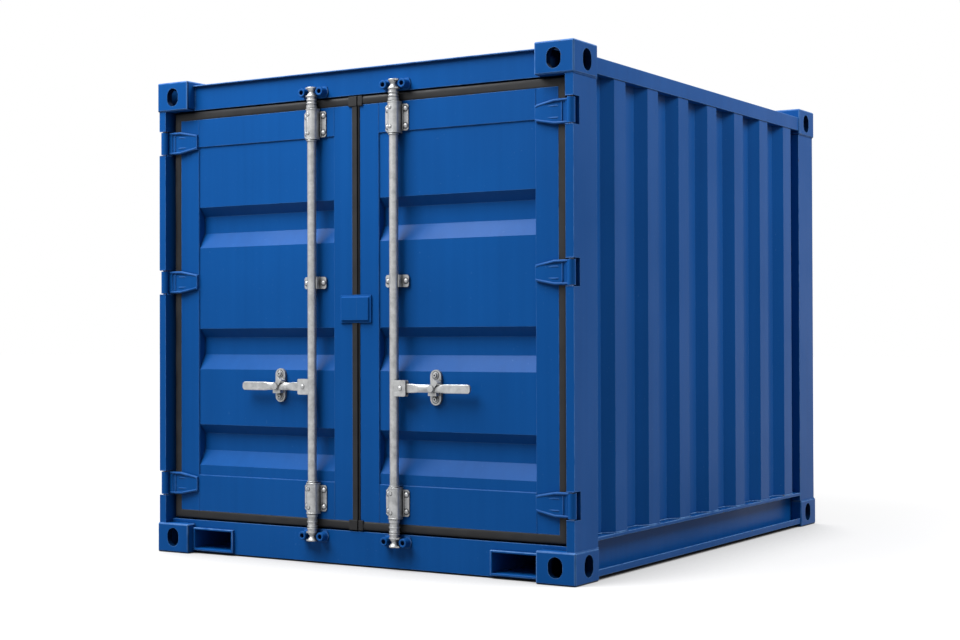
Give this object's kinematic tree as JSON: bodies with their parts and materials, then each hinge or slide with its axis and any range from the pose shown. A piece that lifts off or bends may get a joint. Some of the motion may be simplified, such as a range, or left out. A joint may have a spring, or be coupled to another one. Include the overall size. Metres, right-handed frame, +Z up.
{
  "type": "small steel shipping container with double doors",
  "caption": "Compact blue steel storage container with corrugated walls, hinged double doors with lock rods, corner castings and fork pockets.",
  "frame": {"origin": "on the ground, in the middle of the plan under the four bottom castings", "axes": "+X to the right when facing the doors, +Y from the doors to the rear wall, +Z up"},
  "size_m": [1.94, 2.3259, 1.91],
  "materials": {
    "blue_paint": "satin paint",
    "galvanised_steel": "dull galvanised",
    "black_rubber": "matte",
    "plywood": "sealed plywood"
  },
  "bodies": {
    "frame": {"front_bottom_castings": "blue_paint", "front_top_castings": "blue_paint", "rear_bottom_castings": "blue_paint", "rear_top_castings": "blue_paint", "front_post_left": "blue_paint", "front_post_right": "blue_paint", "rear_post_left": "blue_paint", "rear_post_right": "blue_paint", "front_header": "blue_paint", "rear_header": "blue_paint", "front_sill": "blue_paint", "rear_sill": "blue_paint", "fork_pocket_left": "blue_paint", "fork_pocket_right": "blue_paint", "top_side_rail_left": "blue_paint", "top_side_rail_right": "blue_paint", "bottom_side_rail_left": "blue_paint", "bottom_side_rail_right": "blue_paint", "side_wall_left": "blue_paint", "side_wall_right": "blue_paint", "rear_wall": "blue_paint", "roof": "blue_paint", "floor": "plywood", "crossmembers": "blue_paint", "hinge_pins": "galvanised_steel", "cam_keepers": "blue_paint"},
    "left_door": {"door_frame_left": "blue_paint", "door_panel_left": "blue_paint", "door_seal_left": "black_rubber", "hinge_blades_left": "blue_paint", "rod_bearings_left": "galvanised_steel", "catch_plate_left": "galvanised_steel", "cover_plate_left": "blue_paint"},
    "left_lock_rod": {"lock_rod_left": "galvanised_steel"},
    "left_handle": {"handle_left": "galvanised_steel"},
    "left_hasp": {"hasp_left": "galvanised_steel"},
    "right_door": {"door_frame_right": "blue_paint", "door_panel_right": "blue_paint", "door_seal_right": "black_rubber", "hinge_blades_right": "blue_paint", "rod_bearings_right": "galvanised_steel", "catch_plate_right": "galvanised_steel", "cover_plate_right": "blue_paint"},
    "right_lock_rod": {"lock_rod_right": "galvanised_steel"},
    "right_handle": {"handle_right": "galvanised_steel"},
    "right_hasp": {"hasp_right": "galvanised_steel"}
  },
  "joints": [
    {"name": "left_door_hinge", "type": "hinge", "parent": "frame", "child": "left_door", "pos_m": [-0.947, -1.1425, 0], "axis": [0, 0, -1], "range_deg": [0, 245]},
    {"name": "left_rod_turn", "type": "hinge", "parent": "left_door", "child": "left_lock_rod", "pos_m": [-0.192, -1.1425, 0], "axis": [0, 0, -1], "range_deg": [-90, 0]},
    {"name": "left_handle_lift", "type": "hinge", "parent": "left_lock_rod", "child": "left_handle", "pos_m": [-0.228, -1.1465, 0.68], "axis": [0, 1, 0], "range_deg": [0, 15]},
    {"name": "left_hasp_swivel", "type": "hinge", "parent": "left_handle", "child": "left_hasp", "pos_m": [-0.364, -1.1465, 0.68], "axis": [0, -1, 0], "range_deg": [0, 76]},
    {"name": "right_door_hinge", "type": "hinge", "parent": "frame", "child": "right_door", "pos_m": [0.947, -1.1425, 0], "axis": [0, 0, 1], "range_deg": [0, 245]},
    {"name": "right_rod_turn", "type": "hinge", "parent": "right_door", "child": "right_lock_rod", "pos_m": [0.192, -1.1425, 0], "axis": [0, 0, 1], "range_deg": [-90, 0]},
    {"name": "right_handle_lift", "type": "hinge", "parent": "right_lock_rod", "child": "right_handle", "pos_m": [0.228, -1.1465, 0.68], "axis": [0, -1, 0], "range_deg": [0, 15]},
    {"name": "right_hasp_swivel", "type": "hinge", "parent": "right_handle", "child": "right_hasp", "pos_m": [0.364, -1.1465, 0.68], "axis": [0, -1, 0], "range_deg": [0, 76]}
  ]
}
